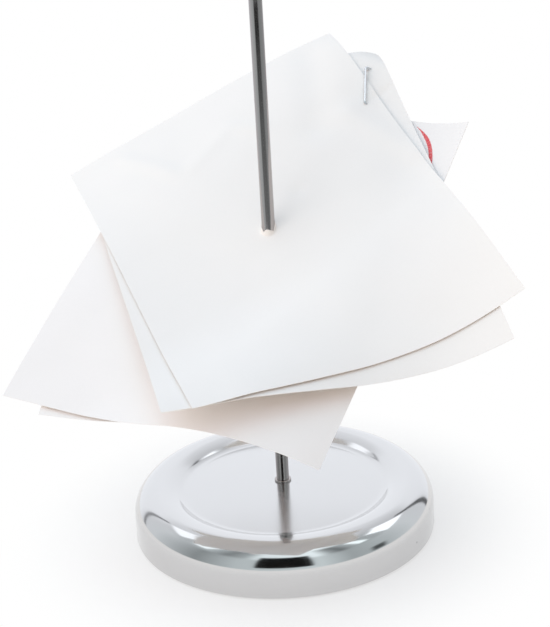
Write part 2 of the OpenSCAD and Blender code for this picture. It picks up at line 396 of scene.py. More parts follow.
def chrome_material(base):
    """Bright plating with faint wipe marks, haze and specks; the ring is buffed sharper than the dome."""
    material, tree, shader, place = new_material("chrome plate")
    haze = grain(tree, place, 90, 3)
    wipe = grain(tree, place, 700, 2, stretch=(1, 0.15, 1))
    tint = two_tone(tree, haze, base.chrome_colour, 0.985, 1.01)
    colour = blend_colour(tree, specks(tree, place), tint, rgba(base.chrome_colour, SPECK_SHADE))
    marks = weigh(tree, haze, wipe, 0.6)
    x, y, _ = put(tree, "ShaderNodeSeparateXYZ", {0: place}).outputs
    away = calc(tree, "SQRT", calc(tree, "ADD", calc(tree, "MULTIPLY", x, x), calc(tree, "MULTIPLY", y, y)))
    buffed = spread(tree, away, BUFF_FROM * MM, BUFF_TO * MM, 1, base.ring_buff)
    rough = by_grain(tree, marks, base.chrome_roughness * 0.8, base.chrome_roughness * 1.2)
    dress(tree, shader, colour, calc(tree, "MULTIPLY", rough, buffed), metal=1.0)
    bump(tree, shader, wipe, depth=0.002, strength=0.15)
    return material


def specks(tree, place):
    """Small, sparse pits: the middles of some of a pattern's cells."""
    cells = put(tree, "ShaderNodeTexVoronoi", {"Vector": place, "Scale": SPECK_CELLS})
    chance = put(tree, "ShaderNodeSeparateColor", {0: cells.outputs["Color"]}).outputs[0]
    near = spread(tree, cells.outputs["Distance"], *SPECK_EDGE, 1, 0)
    return calc(tree, "MULTIPLY", near, calc(tree, "GREATER_THAN", chance, 1 - SPECK_SHARE))


def rod_material(rod):
    """Drawn and polished steel with fine lines along the rod."""
    material, tree, shader, place = new_material("polished rod")
    lines = grain(tree, place, 2600, 2, stretch=(1, 1, 0.01))
    haze = grain(tree, place, 160, 2)
    colour = two_tone(tree, lines, rod.steel_colour, 0.94, 1.04)
    rough = by_grain(tree, haze, rod.steel_roughness * 0.75, rod.steel_roughness * 1.25)
    dress(tree, shader, colour, rough, metal=1.0)
    bump(tree, shader, lines, depth=0.004, strength=0.25)
    return material


def paper_material(name, colour, pen=None):
    """Uncoated paper: fibres, faint clouding and, on one slip, a pen mark."""
    material, tree, shader, place = new_material(name)
    fibre = grain(tree, place, 1800, 5)
    cloud = grain(tree, place, 70, 3)
    sheet = two_tone(tree, weigh(tree, fibre, cloud, 0.5), colour, 0.97, 1.02)
    if pen:
        sheet = pen_mark(tree, sheet, fibre, pen)
    dress(tree, shader, sheet, by_grain(tree, fibre, 0.62, 0.78))
    shader.inputs["Specular IOR Level"].default_value = 0.25
    bump(tree, shader, fibre, depth=0.02, strength=0.35)
    return material


def pen_mark(tree, sheet, fibre, pen):
    """Part of a hand-drawn ring in ink, set out in millimetres from the slip's corner."""
    slip = PEN_SLIP
    spot = put(tree, "ShaderNodeUVMap", uv_map="Slip").outputs[0]
    size = (slip.width, slip.length, 1)
    spot = put(tree, "ShaderNodeVectorMath", {0: spot, 1: size}, operation="MULTIPLY").outputs[0]
    centre = (PEN_CENTRE[0] + slip.width - slip.right, PEN_CENTRE[1] + slip.length - slip.back, 0)
    away = put(tree, "ShaderNodeVectorMath", {0: spot, 1: centre}, operation="SUBTRACT").outputs[0]
    across, along, _ = put(tree, "ShaderNodeSeparateXYZ", {0: away}).outputs
    reach = put(tree, "ShaderNodeVectorMath", {0: away}, operation="LENGTH").outputs["Value"]
    swing = calc(tree, "SINE", calc(tree, "MULTIPLY", along, PEN_WOBBLE_RATE))
    drawn = calc(tree, "ADD", reach, calc(tree, "MULTIPLY", swing, PEN_WOBBLE))
    off = calc(tree, "ABSOLUTE", calc(tree, "SUBTRACT", drawn, PEN_R))
    edge = calc(tree, "ADD", off, calc(tree, "MULTIPLY", calc(tree, "SUBTRACT", fibre, 0.5), PEN_RAGGED))
    turn = calc(tree, "ARCTAN2", along, across)
    started = spread(tree, turn, PEN_START, PEN_START - PEN_TAPER)
    stopped = spread(tree, turn, PEN_END, PEN_END + PEN_TAPER)
    half = calc(tree, "MULTIPLY", calc(tree, "MINIMUM", started, stopped), pen.pen_width / MM / 2)
    half_widths = calc(tree, "DIVIDE", edge, calc(tree, "MAXIMUM", half, PEN_LEAST))
    line = spread(tree, half_widths, *PEN_EDGE, 1, 0, "SMOOTHSTEP")
    ink = calc(tree, "MULTIPLY", line, spread(tree, fibre, *PEN_SKIP))
    # The mark is on the upper side only
    normal = put(tree, "ShaderNodeTexCoord").outputs["Normal"]
    upward = put(tree, "ShaderNodeSeparateXYZ", {0: normal}).outputs[2]
    ink = calc(tree, "MULTIPLY", ink, calc(tree, "GREATER_THAN", upward, 0.0))
    return blend_colour(tree, ink, sheet, rgba(pen.pen_colour))


def grained_material(name, dark, light, fine, rough, depth, strength, coarse=None, metal=0.0):
    """A finish with a fine grain in its roughness and bump, and that or a coarse one in its colour."""
    material, tree, shader, place = new_material(name)
    fine = grain(tree, place, *fine)
    coarse = grain(tree, place, *coarse) if coarse else fine
    dress(tree, shader, blend_colour(tree, coarse, dark, light), by_grain(tree, fine, *rough), metal)
    bump(tree, shader, fine, depth, strength)
    return material


def wire_material(staple):
    """Galvanised wire with streaks from drawing."""
    return grained_material(
        "staple wire", rgba(staple.wire_colour, 0.85), rgba(staple.wire_colour, 1.1), metal=1.0,
        fine=(3000, 3), rough=(0.18, 0.32), depth=0.01, strength=0.3)


def cast_material():
    """Grey iron as it comes from the mould, with stains."""
    return grained_material(
        "cast iron", rgba((0.05, 0.048, 0.047)), rgba((0.12, 0.105, 0.095)), metal=0.6,
        fine=(1400, 6), coarse=(110, 3), rough=(0.55, 0.8), depth=0.2, strength=0.7)


def zinc_material():
    """Zinc plating on the fasteners, cloudy and slightly blue."""
    return grained_material(
        "zinc plate", rgba((0.5, 0.52, 0.54)), rgba((0.66, 0.67, 0.66)), metal=1.0,
        fine=(900, 4), rough=(0.25, 0.42), depth=0.02, strength=0.4)


def plate_material():
    """Matt black closing plate with a fine press texture and some dust."""
    return grained_material(
        "black plate", rgba((0.016, 0.016, 0.018)), rgba((0.032, 0.031, 0.031)),
        fine=(2200, 3), coarse=(140, 4), rough=(0.5, 0.7), depth=0.05, strength=0.5)


def foam_material():
    """Closed-cell foam: small cells, and dust where it has rubbed on the counter."""
    material, tree, shader, place = new_material("foam pad")
    cells = put(tree, "ShaderNodeTexVoronoi", {"Vector": place, "Scale": FOAM_CELLS}).outputs["Distance"]
    dust = grain(tree, place, 120, 4)
    colour = blend_colour(tree, dust, rgba((0.012, 0.012, 0.013)), rgba((0.035, 0.034, 0.033)))
    colour = blend_colour(tree, cells, colour, rgba((0.02, 0.02, 0.021)))
    dress(tree, shader, colour, spread(tree, cells, 0.0, 0.7, 0.95, 0.8))
    bump(tree, shader, cells, depth=0.2, strength=0.8)
    return material


# Meshes made by node trees

def start_tree(name, sockets):
    """A geometry tree with named inputs and one geometry output."""
    tree = bpy.data.node_groups.new(name, "GeometryNodeTree")
    for label, kind in sockets.items():
        tree.interface.new_socket(label, in_out="INPUT", socket_type="NodeSocket" + kind)
    tree.interface.new_socket("Mesh", in_out="OUTPUT", socket_type="NodeSocketGeometry")
    return tree, put(tree, "NodeGroupInput").outputs


def end_tree(tree, mesh, material):
    """Realizes, dresses and hands out the tree's mesh."""
    real = put(tree, "GeometryNodeRealizeInstances", {"Geometry": mesh}).outputs[0]
    dressed = put(tree, "GeometryNodeSetMaterial", {"Geometry": real, "Material": material}).outputs[0]
    put(tree, "NodeGroupOutput", {"Mesh": dressed})
    return tree


def shade_smooth(tree, mesh, crease):
    """Shades a mesh smooth, with hard edges past the crease angle."""
    smooth = put(tree, "GeometryNodeSetShadeSmooth", {"Geometry": mesh, "Shade Smooth": True}).outputs[0]
    angle = put(tree, "GeometryNodeInputMeshEdgeAngle").outputs["Unsigned Angle"]
    hard = calc(tree, "GREATER_THAN", angle, crease)
    inputs = {"Geometry": smooth, "Selection": hard, "Shade Smooth": False}
    return put(tree, "GeometryNodeSetShadeSmooth", inputs, domain="EDGE").outputs[0]


def lathe_tree():
    """Turns a line of points about the Z axis, and cuts a thread where the points ask for one."""
    tree, given = start_tree("Turned piece", {
        "Profile": "Geometry", "Segments": "Int", "Thread Pitch": "Float",
        "Crease": "Float", "Material": "Material"})
    profile = given["Profile"]
    size = put(tree, "GeometryNodeAttributeDomainSize", {"Geometry": profile}, component="MESH")
    count = size.outputs["Point Count"]
    columns = calc(tree, "ADD", given["Segments"], 1)
    grid = put(tree, "GeometryNodeMeshGrid", {"Vertices X": columns, "Vertices Y": count}).outputs["Mesh"]
    index = put(tree, "GeometryNodeInputIndex").outputs[0]
    turn = calc(tree, "DIVIDE", calc(tree, "FLOOR", calc(tree, "DIVIDE", index, count)), given["Segments"])
    row = calc(tree, "MODULO", index, count)

    def sample(value, kind):
        """A value of the profile's point for each row of the grid."""
        inputs = {"Geometry": profile, "Value": value, "Index": row}
        return put(tree, "GeometryNodeSampleIndex", inputs, data_type=kind, domain="POINT").outputs[0]

    place = put(tree, "GeometryNodeInputPosition").outputs[0]
    radius, _, height = put(tree, "ShaderNodeSeparateXYZ", {0: sample(place, "FLOAT_VECTOR")}).outputs
    asked = put(tree, "GeometryNodeInputNamedAttribute", {"Name": THREAD_LAYER}, data_type="FLOAT")
    depth = sample(asked.outputs[0], "FLOAT")
    phase = calc(tree, "SUBTRACT", calc(tree, "DIVIDE", height, given["Thread Pitch"]), turn)
    flank = calc(tree, "MULTIPLY", calc(tree, "PINGPONG", phase, 0.5), 2)
    radius = calc(tree, "SUBTRACT", radius, calc(tree, "MULTIPLY", flank, depth))
    angle = calc(tree, "MULTIPLY", turn, tau)
    across = calc(tree, "MULTIPLY", radius, calc(tree, "COSINE", angle))
    along = calc(tree, "MULTIPLY", radius, calc(tree, "SINE", angle))
    spot = put(tree, "ShaderNodeCombineXYZ", {0: across, 1: along, 2: height}).outputs[0]
    turned = put(tree, "GeometryNodeSetPosition", {"Geometry": grid, "Position": spot}).outputs[0]
    inputs = {"Geometry": turned, "Distance": MERGE_GAP * MM}
    closed = put(tree, "GeometryNodeMergeByDistance", inputs).outputs[0]
    return end_tree(tree, shade_smooth(tree, closed, given["Crease"]), given["Material"])


def wire_tree():
    """Sweeps a flat wire along a line of points and rounds its bends."""
    tree, given = start_tree("Bent wire", {
        "Path": "Geometry", "Bend Radius": "Float", "Width": "Float", "Thickness": "Float",
        "Edge Radius": "Float", "Crease": "Float", "Material": "Material"})
    line = put(tree, "GeometryNodeMeshToCurve", {"Mesh": given["Path"]}).outputs[0]
    inputs = {"Curve": line, "Radius": given["Bend Radius"], "Count": BEND_STEPS, "Limit Radius": True}
    bent = put(tree, "GeometryNodeFilletCurve", inputs, mode="POLY").outputs[0]
    inputs = {"Width": given["Width"], "Height": given["Thickness"]}
    section = put(tree, "GeometryNodeCurvePrimitiveQuadrilateral", inputs, mode="RECTANGLE").outputs[0]
    inputs = {"Curve": section, "Radius": given["Edge Radius"], "Count": EDGE_STEPS, "Limit Radius": True}
    section = put(tree, "GeometryNodeFilletCurve", inputs, mode="POLY").outputs[0]
    inputs = {"Curve": bent, "Profile Curve": section, "Fill Caps": True}
    swept = put(tree, "GeometryNodeCurveToMesh", inputs).outputs[0]
    return end_tree(tree, shade_smooth(tree, swept, given["Crease"]), given["Material"])


def settle(piece):
    """Swaps a piece's mesh for what its modifiers make of it."""
    graph = bpy.context.evaluated_depsgraph_get()
    made = bpy.data.meshes.new_from_object(
        piece.evaluated_get(graph), preserve_all_data_layers=True, depsgraph=graph)
    piece.modifiers.clear()
    piece.data = made
    made.name = piece.name


def face_outwards(piece):
    """Merges doubles and turns a closed mesh's faces outwards."""
    work = bmesh.new()
    work.from_mesh(piece.data)
    bmesh.ops.remove_doubles(work, verts=work.verts, dist=MERGE_GAP * MM / 2)
    bmesh.ops.recalc_face_normals(work, faces=work.faces)
    work.to_mesh(piece.data)
    work.free()


def add_object(name, data):
    """Links a new object that sits at the origin."""
    made = bpy.data.objects.new(name, data)
    bpy.context.scene.collection.objects.link(made)
    return made


def grow(name, points, edges, tree, values, depths=None):
    """Runs a geometry tree over a line of points and returns a plain mesh object."""
    line = bpy.data.meshes.new(name)
    line.from_pydata([tuple(point) for point in points], edges, [])
    if depths is not None:
        line.attributes.new(THREAD_LAYER, "FLOAT", "POINT").data.foreach_set("value", depths)
    piece = add_object(name, line)
    modifier = piece.modifiers.new("Shape", "NODES")
    modifier.node_group = tree
    for item in tree.interface.items_tree:
        if item.name in values:
            modifier[item.identifier] = values[item.name]
    settle(piece)
    face_outwards(piece)
    return piece


def stand_for(piece, node, body):
    """Lets a piece take a node's place on its body."""
    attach(piece, body)
    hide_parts(node)


# Profiles of the turned pieces, as radius and height in millimetres

def arc(centre, radius, start, end, steps):
    """Points on an arc, from one angle to the other."""
    turns = np.linspace(start, end, steps + 1)
    return [(centre[0] + radius * cos(t), centre[1] + radius * sin(t)) for t in turns]


def shell_line(inset, steps):
    """The shell's surface from the seat's hole out to the skirt, inset by a thickness."""
    ring = np.array((BASE_R - RING_R, CREST_Z - RING_R))
    flank = np.array((BASE_R - RING_R, CREST_Z - FLANK_R))
    dome = np.array((0, SEAT_Z - sqrt(DOME_R ** 2 - SEAT_R ** 2)))
    between = flank - dome
    span = np.linalg.norm(between)
    to_flank, to_dome = FLANK_R + GROOVE_R, DOME_R + GROOVE_R
    lean = acos((to_dome ** 2 + span ** 2 - to_flank ** 2) / (2 * to_dome * span))
    groove_at = atan2(between[1], between[0]) + lean
    groove = dome + to_dome * np.array((cos(groove_at), sin(groove_at)))
    flank_at = atan2(*(flank - groove)[::-1])
    seat_at = atan2(SEAT_Z - dome[1], SEAT_R)
    line = [(SEAT_HOLE_R, SEAT_Z - inset)]
    line += arc(dome, DOME_R - inset, seat_at, groove_at, steps)
    line += arc(groove, GROOVE_R + inset, groove_at + pi, flank_at + tau, steps)[1:]
    line += arc(flank, FLANK_R - inset, flank_at + pi, pi / 2, steps)[1:]
    line += arc(ring, RING_R - inset, pi / 2, 0, steps)[1:]
    return line


def shell_profile():
    """Closed section of the pressed shell, with a rounded lower edge."""
    edge = (BASE_R - SKIRT_ROUND, SKIRT_Z + SKIRT_ROUND)
    foot = arc(edge, SKIRT_ROUND, 0, -pi / 2, steps=6)
    outside = shell_line(0, steps=28)
    inside = shell_line(SHELL_T, steps=12)[::-1]
    return outside + foot + [(BASE_R - SHELL_T, SKIRT_Z)] + inside + outside[:1]


def rod_profile(pitch):
    """Section of the rod from the tail's end to the tip, and the depth of thread at each point."""
    rows = THREAD_ROWS * round((SEAT_Z - TAIL_Z - THREAD_RUNOUT) * MM / pitch)
    thread = [(TAIL_R, z) for z in np.linspace(TAIL_Z + TAIL_CHAMFER, SEAT_Z - THREAD_RUNOUT, rows)]
    tail = [(0, TAIL_Z), (TAIL_R - THREAD_DEPTH, TAIL_Z)]
    collar_top = SEAT_Z + COLLAR_H
    under = COLLAR_ROUND / 2
    collar = [(TAIL_R, SEAT_Z), (COLLAR_R - under, SEAT_Z)]
    collar += arc((COLLAR_R - under, SEAT_Z + under), under, -pi / 2, 0, steps=4)[1:]
    collar += arc((COLLAR_R - COLLAR_ROUND, collar_top - COLLAR_ROUND), COLLAR_ROUND, 0, pi / 2, steps=6)
    collar += [(ROD_R, collar_top)]
    shaft = [(ROD_R, z) for z in np.linspace(collar_top + COLLAR_H, TIP_Z - POINT_LEN, SHAFT_ROWS)]
    # The ground point: a cone that leaves the shaft over a short round, and a rounded tip
    lean = atan2(ROD_R - TIP_R, POINT_LEN - TIP_R)
    cone = [(ROD_R + (TIP_R - ROD_R) * s, TIP_Z - POINT_LEN + (POINT_LEN - TIP_R) * s)
            for s in np.linspace(POINT_ROUND, 1, POINT_ROWS)[:-1]]
    tip = arc((0, TIP_Z - TIP_R), TIP_R, lean, pi / 2, steps=8)
    line = tail + thread + collar + shaft + cone + tip
    depths = [0.0] * len(tail) + [THREAD_DEPTH * MM] * len(thread)
    depths += [0.0] * (len(line) - len(depths))
    return line, depths


def in_half_plane(line):
    """Radius and height in millimetres as points in metres."""
    return [(radius * MM, 0, height * MM) for radius, height in line]


# Paper stack, in millimetres: points of its plane, measured from the hole

def spun(points, degrees):
    """Points of a plane, turned about the hole."""
    turn = radians(degrees)
    x, y = points[:, 0], points[:, 1]
    across = x * cos(turn) - y * sin(turn)
    along = x * sin(turn) + y * cos(turn)
    return np.stack((across, along), axis=1)


def heading(degrees):
    """Unit vector of a plane in a direction."""
    return np.array((cos(radians(degrees)), sin(radians(degrees))))


def stack_tilt():
    """Rotation of the stack's plane: pitched up to the back, then banked up to the right."""
    p, b = radians(STACK_PITCH), radians(-STACK_BANK)
    pitch = np.array(((1, 0, 0), (0, cos(p), -sin(p)), (0, sin(p), cos(p))))
    bank = np.array(((cos(b), 0, sin(b)), (0, 1, 0), (-sin(b), 0, cos(b))))
    return bank @ pitch


# Where the staple lies in the stack's plane, and its far leg in the second slip's own axes
TILT = stack_tilt()
STAPLE_DIRECTION = TOP_TURN + 90 - STAPLE_TURN
STAPLE_MID = spun(np.array([(TOP_RIGHT - STAPLE_SIDE, TOP_BACK - STAPLE_END)]), TOP_TURN)[0]
LEG_REACH = CROWN_W / 2 - WIRE_T / 2
FAR_LEG = STAPLE_MID + LEG_REACH * heading(STAPLE_DIRECTION)
FAR_LEG_SECOND = spun(FAR_LEG[None], -SECOND_TURN)[0]

# A slip: the height of its hole, its flat size, its turn, its right and back edges measured from the hole,
# whether it is one of the stapled two, the height of the torn flaps at its hole and the seed of its crinkles
Slip = namedtuple(
    "Slip", "node body slot rests_on height width length turn right back upper flap seed trim roll",
    defaults=(SQUARE, None))
BOTTOM_SLIP = Slip(
    "bottom_slip", "lowest_slip", "lower_paper", ["spike_rod"], height=76.4, width=57, length=90,
    turn=-22, right=16, back=34, upper=False, flap=0.25, seed=3)
THIRD_SLIP = Slip(
    "third_slip", "long_slip", "lower_paper", ["bottom_slip"], height=77.3, width=80, length=104,
    turn=-29, right=36, back=45, upper=False, flap=0.3, seed=5)
SECOND_SLIP = Slip(
    "second_slip", "stapled_slips", "upper_paper", ["third_slip"], height=79.2, width=80, length=103,
    turn=SECOND_TURN, right=FAR_LEG_SECOND[0] + SECOND_SIDE, back=FAR_LEG_SECOND[1] + SECOND_END,
    upper=True, flap=0.2, seed=7, trim=SECOND_TRIM, roll=Roll(43, 6.5, 8.6))
TOP_SLIP = Slip(
    "top_slip", "stapled_slips", "upper_paper", ["second_slip"], height=79.9, width=80, length=105,
    turn=TOP_TURN, right=TOP_RIGHT, back=TOP_BACK,
    upper=True, flap=2.0, seed=12.57, trim=TOP_TRIM, roll=Roll(52, 10, 40))
SLIPS = (BOTTOM_SLIP, THIRD_SLIP, SECOND_SLIP, TOP_SLIP)

# Pen mark: part of a ring on the third slip, measured from its hole in the slip's own axes
PEN_SLIP = THIRD_SLIP
PEN_CENTRE = (10.1, 25.9)
PEN_R = 21.3
PEN_START = radians(55)
PEN_END = radians(-110)
PEN_TAPER = radians(14)
PEN_WOBBLE = 0.25
PEN_WOBBLE_RATE = 0.3
PEN_RAGGED = 0.35
PEN_LEAST = 0.001
# Where the ink fades at the mark's edge, in half widths, and the fibres that thin it, from and to how much
PEN_EDGE = (0.75, 1.15)
PEN_SKIP = (0.3, 0.6, 0.75, 1.0)

# Slow waves that the slips share, full at their reach from the rod, and each slip's own small crinkles
WAVE_LENGTH = 34.0
WAVE_REACH = 55.0
WAVE_SEED = 4.2
CRINKLE_LENGTH = 9.0


def bend_height(points, bends):
    """Height of the stack's bends over points of its plane."""
    total = np.zeros(len(points))
    for bend in bends:
        past = np.maximum(0, points @ heading(bend.direction) - bend.start)
        total += bend.rise * (past / BEND_UNIT) ** 2
    return total


def distance_to_run(points, run):
    """Distance from each point to a run of straight lines, or to a single point."""
    corners = [np.array(corner) for corner in run]
    best = np.linalg.norm(points - corners[0], axis=1)
    for start, end in zip(corners, corners[1:]):
        line = end - start
        share = np.clip((points - start) @ line / (line @ line), 0, 1)
        best = np.minimum(best, np.linalg.norm(points - start - share[:, None] * line, axis=1))
    return best


def buckle_height(points):
    """The facet that has fallen back behind two creases, which meet at the apex."""
    apex = np.array(BUCKLE_APEX)
    left = np.array(BUCKLE_LEFT) - apex
    right = np.array(BUCKLE_RIGHT) - apex
    off_left = (points - apex) @ np.array((left[1], -left[0])) / np.linalg.norm(left)
    off_right = (points - apex) @ np.array((-right[1], right[0])) / np.linalg.norm(right)
    depth = np.minimum(off_left, off_right)
    return -BUCKLE_SLOPE * CREASE_SOFT * np.logaddexp(0, depth / CREASE_SOFT)


def ridge_height(points):
    """The dents and ridges that the stapled slips share."""
    total = buckle_height(points)
    for ridge in UPPER_RIDGES:
        total += ridge.rise * np.exp(-(distance_to_run(points, ridge.run) / ridge.spread) ** 2)
    return total


def rolling(points, length, seed):
    """Smooth noise over points of a plane, with features of a length."""
    return np.array([noise.noise(Vector((x / length, y / length, seed))) for x, y in points])


def wave_height(points, depth):
    """Slow waves that all the slips share, deeper away from the rod."""
    reach = np.minimum(1, np.linalg.norm(points, axis=1) / WAVE_REACH)
    return depth * reach * rolling(points, WAVE_LENGTH, WAVE_SEED)


def trim_offset(slip, spots):
    """How far the torn ends have moved each flat point of a slip."""
    across = ((spots[:, 0] - slip.right) / slip.width + 1)[:, None]
    along = ((spots[:, 1] - slip.back) / slip.length + 1)[:, None]
    corners = [np.array(corner) for corner in slip.trim]
    front = corners[0] * (1 - across) + corners[1] * across
    back = corners[2] * (1 - across) + corners[3] * across
    return front * (1 - along) + back * along


def lay(slip, spots, paper):
    """Puts flat points of a slip, measured from its hole, on the rod. Everything is in millimetres."""
    spots = np.array(spots, float)
    spots = spots + trim_offset(slip, spots) - trim_offset(slip, np.zeros((1, 2)))
    drop = np.zeros(len(spots))
    if slip.roll:
        way = heading(slip.roll.direction)
        corner = np.array((slip.right, slip.back)) @ way
        past = np.maximum(0, spots @ way - (corner - slip.roll.reach))
        angle = past / slip.roll.radius
        spots = spots + ((slip.roll.radius * np.sin(angle) - past)[:, None] * way)
        drop = slip.roll.radius * (1 - np.cos(angle))
    plane = spun(spots, slip.turn)
    rise = bend_height(plane, UPPER_BENDS if slip.upper else LOWER_BENDS) - drop
    rise += wave_height(plane, paper.wave_depth / MM)
    rise += paper.crinkle_depth / MM * rolling(spots, CRINKLE_LENGTH, slip.seed)
    if slip.upper:
        rise += ridge_height(plane)
    return np.column_stack((plane, rise)) @ TILT.T + np.array((0, 0, slip.height))


# The square left free around a hole, the rings that fill it in to the lip, and the torn flaps inside the lip
HOLE_HALF = 4.0
HOLE_CELLS = 10
HOLE_RINGS = 5
LIP_R = 1.95
FLAP_RINGS = 3
FLAP_COUNT = 4
FLAP_GAP = 0.03
FLAP_BLUNT = 0.6
FLAP_LEAST = 0.25
FLAP_UNEVEN = 0.2


def grid_lines(low, high, step):
    """Grid lines from one edge to the other, in line with the square left free around the hole."""
    before = np.linspace(low, -HOLE_HALF, 1 + ceil((-HOLE_HALF - low) / step))
    middle = np.linspace(-HOLE_HALF, HOLE_HALF, HOLE_CELLS + 1)
    after = np.linspace(HOLE_HALF, high, 1 + ceil((high - HOLE_HALF) / step))
    return np.concatenate((before[:-1], middle, after[1:])), len(before) - 1


def pierced_grid(slip, step):
    """Flat points and faces of a slip around its hole, and the points of the hole's edge."""
    xs, first_x = grid_lines(slip.right - slip.width, slip.right, step)
    ys, first_y = grid_lines(slip.back - slip.length, slip.back, step)
    last_x, last_y = first_x + HOLE_CELLS, first_y + HOLE_CELLS
    number, spots, faces = {}, [], []
    for j, y in enumerate(ys):
        for i, x in enumerate(xs):
            if first_x < i < last_x and first_y < j < last_y:
                continue
            number[i, j] = len(spots)
            spots.append((x, y))
    for j in range(len(ys) - 1):
        for i in range(len(xs) - 1):
            if not (first_x <= i < last_x and first_y <= j < last_y):
                faces.append([number[c] for c in ((i, j), (i + 1, j), (i + 1, j + 1), (i, j + 1))])
    # The square's edge, once round, and rings from it in to the hole
    span = range(HOLE_CELLS)
    square = [(first_x + k, first_y) for k in span] + [(last_x, first_y + k) for k in span]
    square += [(last_x - k, last_y) for k in span] + [(first_x, last_y - k) for k in span]
    loop = [number[c] for c in square]
    outer = np.array([spots[n] for n in loop])
    way = outer / np.linalg.norm(outer, axis=1)[:, None]
    # Seen along the rod the hole is round, so in the sloping paper it is longer
    seen = spun(way, slip.turn) @ TILT[:2, :2].T
    inner = way * (LIP_R / np.linalg.norm(seen, axis=1))[:, None]
    for ring in range(1, HOLE_RINGS + 1):
        share = ring / HOLE_RINGS
        start = len(spots)
        spots += [tuple(p) for p in outer * (1 - share) + inner * share]
        loop = bridge(faces, loop, list(range(start, len(spots))))
    return spots, faces, loop


def bridge(faces, outer, inner):
    """Joins two rings of points with faces and returns the inner one."""
    for k in range(len(outer)):
        n = (k + 1) % len(outer)
        faces.append([outer[k], outer[n], inner[n], inner[k]])
    return inner


def torn_flaps(slip, points, faces, loop):
    """Adds the torn paper that the rod pushed up around the hole."""
    edge = np.array([points[n] for n in loop])
    turn = np.arctan2(edge[:, 1], edge[:, 0])
    tear = np.abs(np.cos(FLAP_COUNT / 2 * turn + slip.seed)) ** FLAP_BLUNT
    tear *= 1 - FLAP_UNEVEN + FLAP_UNEVEN * np.cos(turn * 3 + slip.seed)
    height = slip.flap * (FLAP_LEAST + (1 - FLAP_LEAST) * tear)
    for ring in range(1, FLAP_RINGS + 1):
        share = ring / FLAP_RINGS
        radius = LIP_R + (PIERCED_R - FLAP_GAP - LIP_R) * sin(share * pi / 2)
        raised = edge[:, 2] + height * (1 - cos(share * pi / 2))
        start = len(points)
        points += [(radius * cos(t), radius * sin(t), z) for t, z in zip(turn, raised)]
        loop = bridge(faces, loop, list(range(start, len(points))))


def slip_mesh(slip, paper):
    """One pierced slip as an open surface with a UV map of its flat shape."""
    spots, faces, loop = pierced_grid(slip, paper.facet / MM)
    points = [tuple(p) for p in lay(slip, spots, paper)]
    torn_flaps(slip, points, faces, loop)
    edge = [spots[n] for n in loop]
    flat = spots + edge * FLAP_RINGS
    mesh = bpy.data.meshes.new(slip.node)
    mesh.from_pydata([tuple(np.array(p) * MM) for p in points], [], faces)
    uv = mesh.uv_layers.new(name="Slip").data
    corner = (slip.right - slip.width, slip.back - slip.length)
    for number, vertex in enumerate(mesh.loops):
        x, y = flat[vertex.vertex_index]
        uv[number].uv = ((x - corner[0]) / slip.width, (y - corner[1]) / slip.length)
    return mesh


def make_slip(slip, paper, material):
    """One slip with its thickness, riding on its body in place of its solid."""
    piece = add_object(slip.node + "_paper", slip_mesh(slip, paper))
    solid = piece.modifiers.new("Thickness", "SOLIDIFY")
    solid.thickness = paper.thickness
    solid.offset = -1
    settle(piece)
    piece.data.materials.append(material)
    piece.data.shade_smooth()
    piece.data.set_sharp_from_angle(angle=radians(PAPER_CREASE))
    stand_for(piece, slip.node, slip.body)


def staple_path(paper):
    """Centre line of the staple: clinched end, leg, crown, leg and clinched end, in metres."""
    way = heading(STAPLE_DIRECTION)
    along = np.array((-LEG_REACH, -LEG_REACH / 2, 0, LEG_REACH / 2, LEG_REACH))
    across = STAPLE_MID + along[:, None] * way
    upper = lay(TOP_SLIP, spun(across, -TOP_TURN), paper)
    lower = lay(SECOND_SLIP, spun(across, -SECOND_TURN), paper)
    normal = TILT[:, 2]
    crown_rise = STAPLE_GAP + WIRE_T / 2
    under_drop = STAPLE_GAP + WIRE_T / 2 + paper.thickness / MM
    # The crown stays straight, clear of the paper's highest point under it
    line = upper[0] + (along - along[0])[:, None] / (along[-1] - along[0]) * (upper[-1] - upper[0])
    bulge = max(0, ((upper - line) @ normal).max())
    left, right = upper[0] + normal * (crown_rise + bulge), upper[-1] + normal * (crown_rise + bulge)
    left_foot, right_foot = lower[0] - normal * under_drop, lower[-1] - normal * under_drop
    inward = (right_foot - left_foot) / np.linalg.norm(right_foot - left_foot)
    fold = inward * (CLINCH_LEN - WIRE_T / 2)
    path = [left_foot + fold, left_foot, left, right, right_foot, right_foot - fold]
    return [point * MM for point in path]


# Stage

Stop = namedtuple("Stop", "azimuth level")
# The tent's walls: light by azimuth, where 0 is the camera's side and the right is positive
LOW_WALL = (
    Stop(-180, 1.08), Stop(-140, 1.05), Stop(-129, 0.8), Stop(-112, 0.79), Stop(-70, 0.34),
    Stop(-38, 0.66), Stop(25, 0.8), Stop(48, 0.48), Stop(82, 0.62), Stop(106, 0.8),
    Stop(124, 0.78), Stop(142, 1.03), Stop(180, 1.08),
)
HIGH_WALL = (
    Stop(-180, 1.0), Stop(-145, 0.85), Stop(-104, 0.62), Stop(-72, 0.6), Stop(-55, 0.28),
    Stop(-38, 0.5), Stop(-26, 1.05), Stop(26, 1.2), Stop(38, 0.45), Stop(48, 0.2),
    Stop(60, 0.5), Stop(84, 0.5), Stop(140, 0.75), Stop(180, 1.0),
)
# What lies beyond and below the sheet
BELOW = (
    Stop(-180, 0.9), Stop(-120, 0.8), Stop(-45, 0.6), Stop(-33, 0.24),
    Stop(33, 0.24), Stop(45, 0.4), Stop(120, 0.5), Stop(180, 0.9),
)
ROOF = 1.5
# Tints of the tent, and the turn from the camera's side over which one becomes the other
FRONT_TINT = (0.9, 1.0, 1.03)
BACK_TINT = (0.97, 1.0, 1.05)
TINT_TURN = (70, 130)
# Elevations over which the low wall becomes the high one, the wall the roof, and the floor the wall
WALL_SEAM = (34, 44)
ROOF_EDGE = (60, 72)
SHEET_EDGE = (-8, -5)

